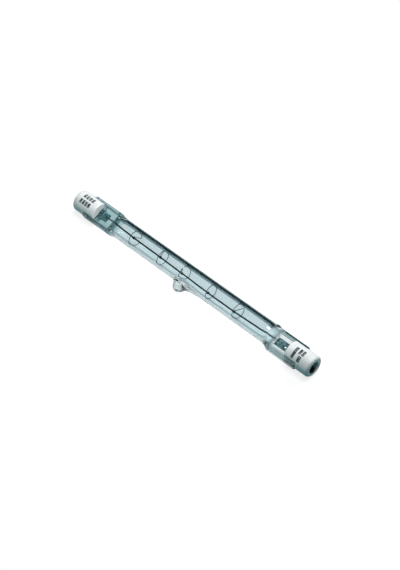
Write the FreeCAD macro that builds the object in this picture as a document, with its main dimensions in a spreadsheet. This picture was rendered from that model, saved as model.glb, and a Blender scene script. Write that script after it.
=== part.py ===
import FreeCAD, Part
import os
import re

import Sketcher

# Linear halogen lamp, double ended: a quartz tube flattened at both ends, a ceramic cap on each flat
# end with its contact sunk in it, and a long coil held along the tube by ring supports.
# Millimetres. The lamp lies along X as it comes to rest, on the side of its tube and on the sealed
# nub of its exhaust tube, which is on the -Y side. Z is up and the floor is Z = 0.

document = FreeCAD.newDocument("linear_halogen_lamp")
sheet = document.addObject("Spreadsheet::Sheet", "Sizes")

# Driving sizes, in millimetres and degrees. Stations are counted from the lamp's middle.
DRIVING = (
    ("overall_length", "117.6"),
    ("tube_diameter", "8.3"),
    ("tube_wall", "1.0"),
    ("shoulder_length", "2.4"),
    ("cavity_end_gap", "0.4"),
    ("cavity_end_half", "0.12"),
    ("glass_inset", "5.5"),
    ("pinch_length", "12.7"),
    ("pinch_width", "9.25"),
    ("web_thickness", "1.55"),
    ("rib_thickness", "3.2"),
    ("rib_width", "1.1"),
    ("rib_lead", "1.8"),
    ("rib_rounding", "0.35"),
    ("rib_end_rounding", "0.6"),
    ("roll_left", "23"),
    ("roll_right", "13"),
    ("shift_left", "0"),
    ("shift_right", "0.8"),
    ("tip_station", "-2.6"),
    ("tip_reach", "7.4"),
    ("tip_end_radius", "2.0"),
    ("tip_half_width", "2.5"),
    ("tip_foot_height", "2.3"),
    ("tip_foot_length", "5.8"),
    ("tip_foot_width", "3.2"),
    ("tip_foot_lean", "1.6"),
    ("tip_brim_height", "4.0"),
    ("tip_brim_length", "4.2"),
    ("tip_brim_width", "2.7"),
    ("tip_brim_lean", "0.8"),
    ("tip_waist_height", "4.7"),
    ("tip_waist_length", "2.75"),
    ("tip_waist_width", "2.2"),
    ("tip_waist_lean", "0.1"),
    ("tip_bore_radius", "0.8"),
    ("tip_roof", "1.7"),
    ("cap_diameter", "8.3"),
    ("cap_length", "10.8"),
    ("cap_rounding", "1.0"),
    ("cap_inner_rounding", "0.35"),
    ("cap_clearance", "0.15"),
    ("recess_diameter", "4.2"),
    ("recess_depth", "1.7"),
    ("recess_chamfer", "0.25"),
    ("contact_head_diameter", "3.2"),
    ("contact_head_thickness", "0.8"),
    ("contact_rounding", "0.35"),
    ("contact_shank_diameter", "1.3"),
    ("contact_clearance", "0.05"),
    ("foil_width", "3.3"),
    ("foil_length", "7.0"),
    ("foil_thickness", "0.1"),
    ("foil_lead_left", "2.7"),
    ("foil_lead_right", "0.9"),
    ("outer_lead_diameter", "0.7"),
    ("outer_lead_reach", "0.8"),
    ("inner_lead_diameter", "0.5"),
    ("coil_joint_gap", "0.05"),
    ("inner_weld_length", "1.4"),
    ("outer_weld_length", "3.2"),
    ("lead_step", "0.3"),
    ("cement_depth", "3.1"),
    ("coil_diameter", "0.5"),
    ("coil_overrun", "1.1"),
    ("support_wire", "0.28"),
    ("support_gap", "0.1"),
    ("support_opening", "35"),
    ("hook_gap", "0.05"),
    ("support_1_span", "9.7"),
    ("support_2_station", "-15.5"),
    ("support_3_station", "-4.4"),
    ("support_4_station", "8.9"),
    ("support_5_span", "17.4"),
    ("support_1_pull", "0.2"),
    ("support_2_pull", "0.4"),
    ("support_3_pull", "0.75"),
    ("support_4_pull", "1.05"),
    ("support_5_pull", "1.1"),
)

# Sizes worked out from the driving ones
WORKED_OUT = (
    ("half_length", "overall_length / 2"),
    ("tube_radius", "tube_diameter / 2"),
    ("bore_radius", "tube_radius - tube_wall"),
    ("glass_end", "half_length - glass_inset"),
    ("web_start", "glass_end - pinch_length"),
    ("straight_end", "web_start - shoulder_length"),
    ("cavity_end", "web_start - cavity_end_gap"),
    ("rib_start", "web_start - rib_lead"),
    ("pinch_half", "pinch_width / 2"),
    ("rib_inner", "pinch_half - rib_width"),
    ("rib_half", "rib_thickness / 2"),
    ("web_half", "web_thickness / 2"),
    ("cap_radius", "cap_diameter / 2"),
    ("cap_start", "half_length - cap_length"),
    ("slot_end", "glass_end + cap_clearance"),
    ("slot_half", "web_half + cap_clearance"),
    ("flat_half", "rib_inner - cap_clearance"),
    ("recess_radius", "recess_diameter / 2"),
    ("recess_floor", "half_length - recess_depth"),
    ("head_seat", "recess_floor - contact_head_thickness"),
    ("head_radius", "contact_head_diameter / 2"),
    ("shank_radius", "contact_shank_diameter / 2"),
    ("lead_end", "slot_end + outer_lead_reach"),
    ("foil_start_left", "web_start + foil_lead_left"),
    ("foil_start_right", "web_start + foil_lead_right"),
    ("coil_end", "straight_end + coil_overrun"),
    ("support_1_station", "support_1_span - coil_end"),
    ("support_5_station", "coil_end - support_5_span"),
    ("coil_radius", "coil_diameter / 2"),
    ("wire_radius", "support_wire / 2"),
    ("ring_radius", "bore_radius - support_gap - wire_radius"),
    ("hook_radius", "coil_radius + hook_gap + wire_radius"),
    ("tip_centre", "tip_reach - tip_end_radius"),
    ("tip_turn", "asin((tube_radius - tip_end_radius) / tip_centre) / 1 deg"),
    ("front_reach", "tip_centre * cos(tip_turn) + tip_end_radius"),
    ("rib_core_y", "pinch_half - rib_rounding"),
    ("rib_core_z", "rib_half - rib_rounding"),
    ("back_reach", "rib_core_y * cos(roll_left) + rib_core_z * sin(roll_left) + rib_rounding - shift_left"),
    ("axis_y", "(front_reach - back_reach) / 2"),
    ("axis_z", "tube_radius"),
)

ALIASES = [name for name, formula in DRIVING + WORKED_OUT]
WORD = re.compile(r"\b(" + "|".join(ALIASES) + r")\b")

for row, (name, value) in enumerate(DRIVING, start=1):
    sheet.set(f"A{row}", name)
    sheet.set(f"B{row}", value)
    sheet.setAlias(f"B{row}", name)
for row, (name, formula) in enumerate(WORKED_OUT, start=len(DRIVING) + 1):
    sheet.set(f"A{row}", name)
    sheet.set(f"B{row}", f"={formula}")
    sheet.setAlias(f"B{row}", name)
document.recompute()


def ref(formula):
    """A formula with each size's name pointing at its cell."""
    return WORD.sub(r"Sizes.\1", formula)


def bind(thing, **formulas):
    for name, formula in formulas.items():
        thing.setExpression(name, ref(formula))


def spot(x="0", y="0", z="0", axis="1; 0; 0", angle="0"):
    return f"placement(vector({x}; {y}; {z}); rotation(vector({axis}); {angle}))"


# Directions to turn about, as the placement formulas write them
ABOUT_X = "1; 0; 0"
ABOUT_Y = "0; 1; 0"
ABOUT_Z = "0; 0; 1"
ABOUT_DIAGONAL = "1; 1; 1"

# The tube's own axes, and those of its flattened ends, which are turned about X and set a little off
# the tube's axis. Local Y runs across the flat and local Z out of it.
TUBE_FRAME = spot(y="axis_y", z="axis_z")
END_FRAME = {
    "left": spot(y="axis_y - shift_left", z="axis_z", angle="roll_left"),
    "right": spot(y="axis_y - shift_right", z="axis_z", angle="roll_right"),
}
SIDES = (("left", -1), ("right", 1))


def place(thing, *steps):
    """Puts a thing at the product of its frame and any steps within the frame."""
    thing.setExpression("Placement", ref(" * ".join(steps)))


def outward(side, near, far):
    """The low and high X of a stretch between two distances from the lamp's middle."""
    return (near, far) if side > 0 else (f"-({far})", f"-({near})")


def box(name, frame, x, y, z):
    """A block between its low and high limits along each axis of a frame."""
    block = document.addObject("Part::Box", name)
    bind(
        block,
        Length=f"({x[1]}) - ({x[0]})",
        Width=f"({y[1]}) - ({y[0]})",
        Height=f"({z[1]}) - ({z[0]})",
    )
    place(block, frame, spot(x[0], y[0], z[0]))
    return block


def rod(name, frame, x, radius, y="0"):
    """A round bar along X between two stations of a frame."""
    bar = document.addObject("Part::Cylinder", name)
    bind(bar, Radius=radius, Height=f"({x[1]}) - ({x[0]})")
    place(bar, frame, spot(x=x[0], y=y, axis=ABOUT_Y, angle="90"))
    return bar


def fuse(name, shapes):
    joined = document.addObject("Part::MultiFuse", name)
    joined.Shapes = shapes
    return joined


def cut(name, base, tool):
    rest = document.addObject("Part::Cut", name)
    rest.Base = base
    rest.Tool = tool
    return rest


def sketch_on(body, role, name):
    """An empty sketch on one of the body's own origin planes."""
    sketch = body.newObject("Sketcher::SketchObject", name)
    planes = [feature for feature in body.Origin.OriginFeatures if feature.Role == role]
    sketch.AttachmentSupport = [(planes[0], "")]
    sketch.MapMode = "FlatFace"
    return sketch


def draw(sketch, corners, closed=True):
    """Straight lines from corner to corner, with each coordinate tied to its formula."""
    def number(formula):
        return float(sketch.evalExpression(ref(formula)))

    points = [FreeCAD.Vector(number(x), number(y), 0) for x, y in corners]
    first = sketch.GeometryCount
    spans = len(points) if closed else len(points) - 1
    for index in range(spans):
        line = Part.LineSegment(points[index], points[(index + 1) % len(points)])
        sketch.addGeometry(line, False)
    for index in range(spans if closed else spans - 1):
        follower = first + (index + 1) % spans
        sketch.addConstraint(Sketcher.Constraint("Coincident", first + index, 2, follower, 1))
    for index, (x, y) in enumerate(corners):
        line, end = (first + index, 1) if index < spans else (first + index - 1, 2)
        for kind, formula, value in (("DistanceX", x, points[index].x), ("DistanceY", y, points[index].y)):
            tie = sketch.addConstraint(Sketcher.Constraint(kind, -1, 1, line, end, value))
            sketch.setExpression(f"Constraints[{tie}]", ref(formula))


def revolve(body, corners, name):
    """Turns a half section, given as stations along X and radii, about the body's X axis."""
    section = sketch_on(body, "XY_Plane", f"{name}_section")
    draw(section, corners)
    turned = body.newObject("PartDesign::Revolution", f"{name}_turned")
    turned.Profile = section
    turned.ReferenceAxis = (section, ["H_Axis"])
    turned.Angle = 360
    document.recompute()
    return turned


def slot(body, role, name, rectangles, width):
    """Cuts rectangles of one of the body's planes through it, equally to both sides."""
    plan = sketch_on(body, role, f"{name}_plan")
    for (x0, x1), (y0, y1) in rectangles:
        draw(plan, ((x0, y0), (x1, y0), (x1, y1), (x0, y1)))
    opening = body.newObject("PartDesign::Pocket", name)
    opening.Profile = plan
    opening.Type = "Length"
    opening.SideType = "Symmetric"
    bind(opening, Length=width)
    document.recompute()
    return opening


def round_edges(body, base, name, radius, chosen):
    """Rounds the edges of a feature for which chosen(edge) is true."""
    numbers = [n for n, edge in enumerate(base.Shape.Edges, start=1) if chosen(edge)]
    rounding = body.newObject("PartDesign::Fillet", name)
    rounding.Base = (base, [f"Edge{n}" for n in numbers])
    bind(rounding, Radius=radius)
    document.recompute()
    return rounding


# How close an edge has to be to the place where it is looked for
NEAR = 0.001


def size(name):
    return float(sheet.get(name))


def circle_at(station, radius):
    """A test for the full circle at a station of the lamp, with a given radius."""
    def chosen(edge):
        curve = edge.Curve
        if not isinstance(curve, Part.Circle):
            return False
        return abs(curve.Center.x - station) < NEAR and abs(curve.Radius - radius) < NEAR

    return chosen


# Molybdenum foils and the leads welded to them. Each lead's end is flattened where it lies on the
# foil, so the round bar loses what would be below the foil's upper face.
nodes = {}
embedded = []
for end, side in SIDES:
    frame = END_FRAME[end]
    foil_start = f"foil_start_{end}"
    foil_end = f"{foil_start} + foil_length"
    foil = box(
        f"foil_{end}",
        frame,
        outward(side, foil_start, foil_end),
        ("-foil_width / 2", "foil_width / 2"),
        ("-foil_thickness / 2", "foil_thickness / 2"),
    )
    outer_weld = (f"{foil_end} - outer_weld_length", foil_end)
    inner_weld = (foil_start, f"{foil_start} + inner_weld_length")
    leads = (
        ("outer_lead", (outer_weld[0], "lead_end"), outer_weld),
        ("inner_lead", ("coil_end + coil_joint_gap", inner_weld[1]), inner_weld),
    )
    for kind, stretch, flat in leads:
        bar = rod(f"{kind}_{end}_bar", frame, outward(side, *stretch), f"{kind}_diameter / 2", y="lead_step")
        below = box(
            f"{kind}_{end}_flat",
            frame,
            outward(side, *flat),
            ("-foil_width / 2", "foil_width / 2"),
            ("-foil_width / 2", "foil_thickness / 2"),
        )
        nodes[f"{kind}_{end}"] = cut(f"{kind}_{end}", bar, below)
        embedded.append(nodes[f"{kind}_{end}"])
    nodes[f"foil_{end}"] = foil
    embedded.append(foil)

# Quartz envelope: the straight tube, the shoulders where it was heated and pressed flat, the pressed
# webs with a rib along each edge, and the nub left where the exhaust tube was sealed off
SHOULDER_SECTIONS = 5
solid_parts = [rod("tube", TUBE_FRAME, ("-straight_end", "straight_end"), "tube_radius")]
hollow_parts = [rod("bore", TUBE_FRAME, ("-straight_end", "straight_end"), "bore_radius")]


def shoulder(name, end, side, reach, radius, flat_width, flat_thickness):
    """Runs a round section out into a flat one, while its centre moves over to the flat's axis."""
    sections = []
    for index in range(SHOULDER_SECTIONS):
        part = f"{index} / {SHOULDER_SECTIONS - 1}"
        station = f"{side} * (straight_end + ({reach} - straight_end) * {part})"
        section = document.addObject("Part::Ellipse", f"{name}_{end}_{index}")
        bind(
            section,
            MajorRadius=f"{radius} + ({flat_width} - {radius}) * {part}",
            MinorRadius=f"{flat_thickness} + ({radius} - {flat_thickness}) * cos(90 * {part})",
        )
        centre = f"axis_y - shift_{end} * {part}"
        turn = spot(x=station, y=centre, z="axis_z", axis=ABOUT_X, angle=f"roll_{end}")
        place(section, turn, spot(axis=ABOUT_DIAGONAL, angle="120"))
        sections.append(section)
    loft = document.addObject("Part::Loft", f"{name}_{end}")
    loft.Sections = sections
    loft.Solid = True
    return loft


for end, side in SIDES:
    solid_parts.append(shoulder("shoulder", end, side, "web_start", "tube_radius", "pinch_half", "web_half"))
    hollow_parts.append(
        shoulder("cavity", end, side, "cavity_end", "bore_radius", "bore_radius", "cavity_end_half")
    )
    pinch = document.addObject("PartDesign::Body", f"pinch_{end}")
    section = sketch_on(pinch, "YZ_Plane", f"pinch_{end}_section")
    bind(section, **{"AttachmentOffset.Base.z": f"{side} * rib_start"})
    draw(
        section,
        (
            ("-pinch_half", "-rib_half"),
            ("-rib_inner", "-rib_half"),
            ("-rib_inner", "-web_half"),
            ("rib_inner", "-web_half"),
            ("rib_inner", "-rib_half"),
            ("pinch_half", "-rib_half"),
            ("pinch_half", "rib_half"),
            ("rib_inner", "rib_half"),
            ("rib_inner", "web_half"),
            ("-rib_inner", "web_half"),
            ("-rib_inner", "rib_half"),
            ("-pinch_half", "rib_half"),
        ),
    )
    pressed = pinch.newObject("PartDesign::Pad", f"pinch_{end}_pressed")
    pressed.Profile = section
    bind(pressed, Length="glass_end - rib_start")
    pressed.Reversed = side < 0
    document.recompute()

    def at_corner(edge):
        reach = edge.BoundBox
        upright = reach.XLength < NEAR and reach.YLength < NEAR
        at_end = abs(reach.XMin - side * size("glass_end")) < NEAR
        return upright and at_end and abs(abs(reach.YMin) - size("pinch_half")) < NEAR

    def along_outside(edge):
        reach = edge.BoundBox
        lengthwise = reach.YLength < NEAR and reach.ZLength < NEAR
        return lengthwise and abs(abs(reach.YMin) - size("pinch_half")) < NEAR

    ended = round_edges(pinch, pressed, f"pinch_{end}_ends", "rib_end_rounding", at_corner)
    round_edges(pinch, ended, f"pinch_{end}_edges", "rib_rounding", along_outside)
    place(pinch, END_FRAME[end])
    solid_parts.append(pinch)

# The nub flares out into the tube's wall, further on one side, and its height is counted from the axis.
# A section's half length lies along the tube and its half width across it.
TIP_SECTIONS = (
    ("tip_foot_height", "tip_foot_length", "tip_foot_width", "tip_foot_lean"),
    ("tip_brim_height", "tip_brim_length", "tip_brim_width", "tip_brim_lean"),
    ("tip_waist_height", "tip_waist_length", "tip_waist_width", "tip_waist_lean"),
    ("tip_centre", "tip_half_width", "tip_end_radius", "0"),
)


def tip_spot(height, lean="0"):
    """A place on the nub's own axis, turned so that its Z points out of the tube."""
    return spot(x=f"tip_station + {lean}", y=f"-({height})", axis=ABOUT_X, angle="90")


tip_foot = document.addObject("Part::Loft", "tip_foot")
tip_rings = []
for index, (height, half_length, half_width, lean) in enumerate(TIP_SECTIONS):
    ring = document.addObject("Part::Ellipse", f"tip_foot_{index}")
    bind(ring, MajorRadius=half_length, MinorRadius=half_width)
    place(ring, TUBE_FRAME, spot(angle="tip_turn"), tip_spot(height, lean))
    tip_rings.append(ring)
tip_foot.Sections = tip_rings
tip_foot.Solid = True
tip_end = document.addObject("Part::Ellipsoid", "tip_end")
bind(tip_end, Radius1="tip_end_radius", Radius2="tip_half_width", Radius3="tip_end_radius")
tip_end.Angle1 = -90
tip_end.Angle2 = 90
tip_bore = document.addObject("Part::Cylinder", "tip_bore")
bind(tip_bore, Radius="tip_bore_radius", Height="tip_reach - tip_roof")
for piece, height in ((tip_end, "tip_centre"), (tip_bore, "0")):
    place(piece, TUBE_FRAME, spot(angle="tip_turn"), tip_spot(height))
solid_parts += [tip_foot, tip_end]
hollow_parts.append(tip_bore)

blown = cut("blown_glass", fuse("glass_outside", solid_parts), fuse("glass_inside", hollow_parts))
nodes["quartz_envelope"] = cut("quartz_envelope", blown, fuse("sealed_in", embedded))

# Ceramic caps: turned outside, recessed for the contact, with a slot for the web and a flat each side
# where the ribs run past
CUT_OVER = "1"


def cap_section(side):
    """Stations and radii of a cap's half section, from its inner end round to the end of its slot."""
    return (
        (f"{side} * cap_start", "0"),
        (f"{side} * cap_start", "cap_radius"),
        (f"{side} * half_length", "cap_radius"),
        (f"{side} * half_length", "recess_radius + recess_chamfer"),
        (f"{side} * (half_length - recess_chamfer)", "recess_radius"),
        (f"{side} * recess_floor", "recess_radius"),
        (f"{side} * recess_floor", "head_radius + contact_clearance"),
        (f"{side} * head_seat", "head_radius + contact_clearance"),
        (f"{side} * head_seat", "shank_radius + contact_clearance"),
        (f"{side} * slot_end", "shank_radius + contact_clearance"),
        (f"{side} * slot_end", "0"),
    )


def contact_section(side):
    """Stations and radii of a contact's half section, from its face to the end of its shank."""
    return (
        (f"{side} * recess_floor", "0"),
        (f"{side} * recess_floor", "head_radius"),
        (f"{side} * head_seat", "head_radius"),
        (f"{side} * head_seat", "shank_radius"),
        (f"{side} * lead_end", "shank_radius"),
        (f"{side} * lead_end", "0"),
    )


for end, side in SIDES:
    cap = document.addObject("PartDesign::Body", f"ceramic_cap_{end}")
    turned = revolve(cap, cap_section(side), f"cap_{end}")
    outer_rim = circle_at(side * size("half_length"), size("cap_radius"))
    inner_rim = circle_at(side * size("cap_start"), size("cap_radius"))
    rounded = round_edges(cap, turned, f"cap_{end}_outer", "cap_rounding", outer_rim)
    round_edges(cap, rounded, f"cap_{end}_inner", "cap_inner_rounding", inner_rim)
    stretch = outward(side, f"cap_start - {CUT_OVER}", "slot_end")
    flats = (
        (stretch, ("flat_half", f"cap_radius + {CUT_OVER}")),
        (stretch, (f"-cap_radius - {CUT_OVER}", "-flat_half")),
    )
    slot(cap, "XY_Plane", f"cap_{end}_flats", flats, f"cap_diameter + {CUT_OVER}")
    web_slot = ((stretch, ("-slot_half", "slot_half")),)
    slot(cap, "XZ_Plane", f"cap_{end}_slot", web_slot, f"cap_diameter + {CUT_OVER}")
    place(cap, END_FRAME[end])
    nodes[f"ceramic_cap_{end}"] = cap

    contact = document.addObject("PartDesign::Body", f"contact_{end}")
    pin = revolve(contact, contact_section(side), f"contact_{end}")
    face_rim = circle_at(side * size("recess_floor"), size("head_radius"))
    round_edges(contact, pin, f"contact_{end}_face", "contact_rounding", face_rim)
    place(contact, END_FRAME[end])
    nodes[f"contact_{end}"] = contact

    # Cement fills the slot round the end of the web and the lead
    filling = box(
        f"cement_{end}_filling",
        END_FRAME[end],
        outward(side, "glass_end - cement_depth", "slot_end"),
        ("-flat_half", "flat_half"),
        ("-slot_half", "slot_half"),
    )
    web = box(
        f"cement_{end}_web",
        END_FRAME[end],
        outward(side, "glass_end - cement_depth", "glass_end"),
        ("-flat_half", "flat_half"),
        ("-web_half", "web_half"),
    )
    lead_way = rod(
        f"cement_{end}_lead",
        END_FRAME[end],
        outward(side, "glass_end - cement_depth", "slot_end"),
        "outer_lead_diameter / 2",
        y="lead_step",
    )
    held = fuse(f"cement_{end}_held", [web, lead_way])
    nodes[f"cement_{end}"] = cut(f"cement_{end}", filling, held)

# Filament: the long coil as a bar of its outside diameter, drawn a little to one side by its
# supports, from one inner lead to the other
SUPPORTS = range(1, 6)
coil_line = document.addObject("Sketcher::SketchObject", "coil_line")
coil_points = [("-coil_end", "lead_step * cos(roll_left) - shift_left")]
coil_points += [(f"support_{n}_station", f"-support_{n}_pull") for n in SUPPORTS]
coil_points.append(("coil_end", "lead_step * cos(roll_right) - shift_right"))
draw(coil_line, coil_points, closed=False)
place(coil_line, TUBE_FRAME)
coil_section = document.addObject("Part::Circle", "coil_section")
bind(coil_section, Radius="coil_radius")
(start_x, start_y), (next_x, next_y) = coil_points[:2]
lean = f"atan(({next_y} - ({start_y})) / ({next_x} - ({start_x}))) / 1 deg"
along = spot(x=start_x, y=start_y, axis=ABOUT_Z, angle=lean)
place(coil_section, TUBE_FRAME, along, spot(axis=ABOUT_Y, angle="90"))
coil = document.addObject("Part::Sweep", "filament_coil")
coil.Sections = [coil_section]
coil.Spine = (coil_line, [f"Edge{n + 1}" for n in range(len(coil_points) - 1)])
coil.Solid = True
coil.Transition = "Right corner"
nodes["filament_coil"] = coil

# Tungsten supports: an open ring just inside the tube, a leg down from it, and an eye round the coil
for n in SUPPORTS:
    station = f"support_{n}_station"
    pull = f"support_{n}_pull"
    ring = document.addObject("Part::Torus", f"support_{n}_ring")
    bind(ring, Radius1="ring_radius", Radius2="wire_radius", Angle3="360 - support_opening")
    lean = spot(x=station, angle=f"180 + asin({pull} / ring_radius) / 1 deg")
    place(ring, TUBE_FRAME, lean, spot(axis=ABOUT_Y, angle="90"))
    eye = document.addObject("Part::Torus", f"support_{n}_eye")
    bind(eye, Radius1="hook_radius", Radius2="wire_radius")
    place(eye, TUBE_FRAME, spot(x=station, y=f"-{pull}", axis=ABOUT_Y, angle="90"))
    leg = document.addObject("Part::Cylinder", f"support_{n}_leg")
    bind(leg, Radius="wire_radius", Height=f"sqrt(ring_radius ^ 2 - {pull} ^ 2) - hook_radius")
    place(leg, TUBE_FRAME, spot(x=station, y=f"-{pull}", z="hook_radius"))
    nodes[f"filament_support_{n}"] = fuse(f"filament_support_{n}", [ring, eye, leg])

document.recompute()

for thing in document.Objects:
    if any(word in ("Invalid", "Error") for word in thing.State):
        raise RuntimeError(f"{thing.Name} did not compute: {thing.State}")
for name, thing in nodes.items():
    thing.Label = name
    if thing.Shape.isNull() or not thing.Shape.isValid() or not thing.Shape.Solids:
        raise RuntimeError(f"{name} has no sound shape")

os.makedirs("parts", exist_ok=True)
for name, thing in nodes.items():
    thing.Shape.exportStep(f"parts/{name}.step")
    print(f"{name}: {len(thing.Shape.Solids)} solid, {thing.Shape.Volume:.3f} cubic mm")
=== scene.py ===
import math

import bmesh
import bpy
from mathutils import Matrix, Vector


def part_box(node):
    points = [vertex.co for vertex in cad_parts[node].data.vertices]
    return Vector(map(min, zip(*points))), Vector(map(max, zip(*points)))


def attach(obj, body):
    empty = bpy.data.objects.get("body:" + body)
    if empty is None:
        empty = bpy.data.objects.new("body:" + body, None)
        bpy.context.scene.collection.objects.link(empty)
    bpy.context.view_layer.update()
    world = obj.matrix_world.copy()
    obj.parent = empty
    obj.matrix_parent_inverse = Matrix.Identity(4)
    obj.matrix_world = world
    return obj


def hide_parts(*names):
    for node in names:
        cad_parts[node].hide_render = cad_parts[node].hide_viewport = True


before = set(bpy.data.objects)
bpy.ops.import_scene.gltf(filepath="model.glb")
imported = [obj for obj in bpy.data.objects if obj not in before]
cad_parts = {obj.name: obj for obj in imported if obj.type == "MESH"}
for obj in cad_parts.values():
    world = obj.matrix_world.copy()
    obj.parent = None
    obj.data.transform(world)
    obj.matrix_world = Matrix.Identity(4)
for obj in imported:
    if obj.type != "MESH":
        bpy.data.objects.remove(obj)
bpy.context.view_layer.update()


# Sealing foils. A foil is a strip of molybdenum a few hundredths of a millimetre thick, rolled out
# to feathered edges and etched. It lies in the pressed web of the quartz, which grips it gas
# tight, and a lead is spot welded on each end of it, where the heat has left a bright mark.
MM = 0.001
SIDES = {"left": -1, "right": 1}
PRESS_ROLL = {"left": math.radians(23), "right": math.radians(13)}


def middle(node):
    low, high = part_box(node)
    return (low + high) / 2


# The line that each end was pressed about, where its contact, cap, leads and foil are centred
PRESS_AXIS = {end: Vector((0, *middle(f"contact_{end}").yz)) for end in SIDES}


def press_frame(end):
    """Turns a point given along the lamp, across the flat and out of it to a place on the lamp."""
    return Matrix.Translation(PRESS_AXIS[end]) @ Matrix.Rotation(PRESS_ROLL[end], 4, "X")


def both_ways(operation):
    """A Math node's forward and reflected forms, for one of Python's operators."""
    def forward(self, other):
        return self.node("ShaderNodeMath", {"operation": operation}, {0: self, 1: other})

    def reflected(self, other):
        return self.node("ShaderNodeMath", {"operation": operation}, {0: other, 1: self})

    return forward, reflected


class Shade:
    """A socket of a finish's nodes, which adds, multiplies and compares as a number does."""

    def __init__(self, socket):
        self.socket = socket

    __add__, __radd__ = both_ways("ADD")
    __sub__, __rsub__ = both_ways("SUBTRACT")
    __mul__, __rmul__ = both_ways("MULTIPLY")
    __truediv__, __rtruediv__ = both_ways("DIVIDE")
    __pow__, __rpow__ = both_ways("POWER")
    __gt__, __lt__ = both_ways("GREATER_THAN")

    def __abs__(self):
        return self.node("ShaderNodeMath", {"operation": "ABSOLUTE"}, {0: self})

    def node(self, kind, settings, inputs, output=0):
        """Any other node of the same tree: settings first, then the values or links it takes."""
        tree = self.socket.id_data
        made = tree.nodes.new(kind)
        for name, value in settings.items():
            setattr(made, name, value)
        for name, value in inputs.items():
            set_input(tree, made.inputs[name], value)
        return Shade(made.outputs[output])

    def other(self, name):
        """Another output of the node that this one comes from."""
        return Shade(self.socket.node.outputs[name])


def set_input(tree, socket, value):
    if isinstance(value, Shade):
        tree.links.new(value.socket, socket)
    else:
        socket.default_value = value


def mixed(mask, first, second):
    """The first colour where the mask is 0 and the second where it is 1."""
    mix = {"data_type": "RGBA"}
    return mask.node("ShaderNodeMix", mix, {0: mask, 6: colour(first), 7: colour(second)}, output=2)


def colour(value):
    return value if isinstance(value, Shade) else (*value, 1)


def step(value, low, high):
    """Rises smoothly from 0 at one value to 1 at another."""
    settings = {"interpolation_type": "SMOOTHSTEP"}
    limits = {"Value": value, "From Min": low, "From Max": high}
    return value.node("ShaderNodeMapRange", settings, limits)


def noise(place, size, detail=2):
    """Soft random variation from 0 to 1, whose lumps measure about the given size."""
    inputs = {"Vector": place, "Scale": 1 / size, "Detail": detail}
    return place.node("ShaderNodeTexNoise", {"noise_dimensions": "3D"}, inputs)


def drawn_out(place, scale):
    """A place scaled along each axis: a pattern on it is drawn out where the scale is small."""
    return place.node("ShaderNodeMapping", {}, {"Vector": place, "Scale": scale})


def bump(height, depth):
    """A surface normal for a height from 0 to 1 over the given depth in metres."""
    return height.node("ShaderNodeBump", {}, {"Height": height, "Strength": 1.0, "Distance": depth})


def new_finish(name):
    """A new material, with its surface node and the place on the lamp as its nodes read it."""
    material = bpy.data.materials.new(name)
    material.use_nodes = True
    tree = material.node_tree
    coordinates = tree.nodes.new("ShaderNodeTexCoord")
    return material, tree.nodes["Principled BSDF"], Shade(coordinates.outputs["Object"])


def dress(surface, sockets):
    for name, value in sockets.items():
        set_input(surface.id_data, surface.inputs[name], value)


def press_place(place, end):
    """The place in metres along the lamp, across its pressed flat and out of it."""
    turned = {"Vector": place, "Location": PRESS_AXIS[end], "Rotation": (PRESS_ROLL[end], 0, 0)}
    return place.node("ShaderNodeMapping", {"vector_type": "TEXTURE"}, turned)


def split(place):
    x = place.node("ShaderNodeSeparateXYZ", {}, {0: place})
    return x, x.other("Y"), x.other("Z")


def spot(along, across, station, radius):
    """A soft round mark on a flat's middle line, 1 at its own middle and 0 outside its radius."""
    distance = ((along - station) ** 2 + across ** 2) ** 0.5
    return 1 - step(distance, radius * 0.55, radius)


def shape_mesh(name, shaped):
    """A new object at the origin that holds a finished mesh, smooth shaded."""
    mesh = bpy.data.meshes.new(name)
    shaped.to_mesh(mesh)
    shaped.free()
    mesh.shade_smooth()
    made = bpy.data.objects.new(name, mesh)
    bpy.context.scene.collection.objects.link(made)
    return made


FOIL_MIDDLE_THICKNESS = 0.09 * MM
FOIL_EDGE_THICKNESS = 0.02 * MM
FOIL_LENGTH = 7.0 * MM
FOIL_WIDTH = 3.3 * MM
FOIL_RIPPLE = 0.012 * MM
FOIL_RIPPLE_LENGTH = 1.7 * MM
FOIL_GREY = (0.020, 0.050, 0.055)
FOIL_PALE = (0.10, 0.17, 0.18)
FOIL_BRIGHT = (0.75, 0.84, 0.84)
# How pale each foil is painted: the left one is painted paler, as painted light, for it lies in a
# darker web
FOIL_PAINTED_PALENESS = {"left": 3.0, "right": 1.0}
WELD_RADIUS = 0.55 * MM


def foil_strip(end):
    """A flat strip, thick along its middle line and feathered to its two long edges."""
    strip = bmesh.new()
    bmesh.ops.create_grid(strip, x_segments=42, y_segments=16, size=0.5)
    bmesh.ops.scale(strip, vec=(FOIL_LENGTH, FOIL_WIDTH, 1), verts=strip.verts)
    lower = bmesh.ops.duplicate(strip, geom=strip.verts[:] + strip.edges[:] + strip.faces[:])
    lower_side = {part for part in lower["geom"] if isinstance(part, bmesh.types.BMVert)}
    for corner in strip.verts:
        from_edge = 1 - (2 * corner.co.y / FOIL_WIDTH) ** 2
        thickness = FOIL_EDGE_THICKNESS + (FOIL_MIDDLE_THICKNESS - FOIL_EDGE_THICKNESS) * from_edge
        ripple = FOIL_RIPPLE * from_edge * math.sin(corner.co.x / FOIL_RIPPLE_LENGTH * math.tau)
        corner.co.z = ripple + thickness / 2 * (-1 if corner in lower_side else 1)
    underside = [face for face in strip.faces if set(face.verts) <= lower_side]
    bmesh.ops.reverse_faces(strip, faces=underside)
    rims = [edge for edge in strip.edges if edge.is_boundary]
    bmesh.ops.bridge_loops(strip, edges=rims)
    bmesh.ops.recalc_face_normals(strip, faces=strip.faces)
    sealed_in = press_frame(end) @ Matrix.Translation((middle(f"foil_{end}").x, 0, 0))
    bmesh.ops.transform(strip, matrix=sealed_in, verts=strip.verts)
    return shape_mesh(f"sealing_foil_{end}", strip)


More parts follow.
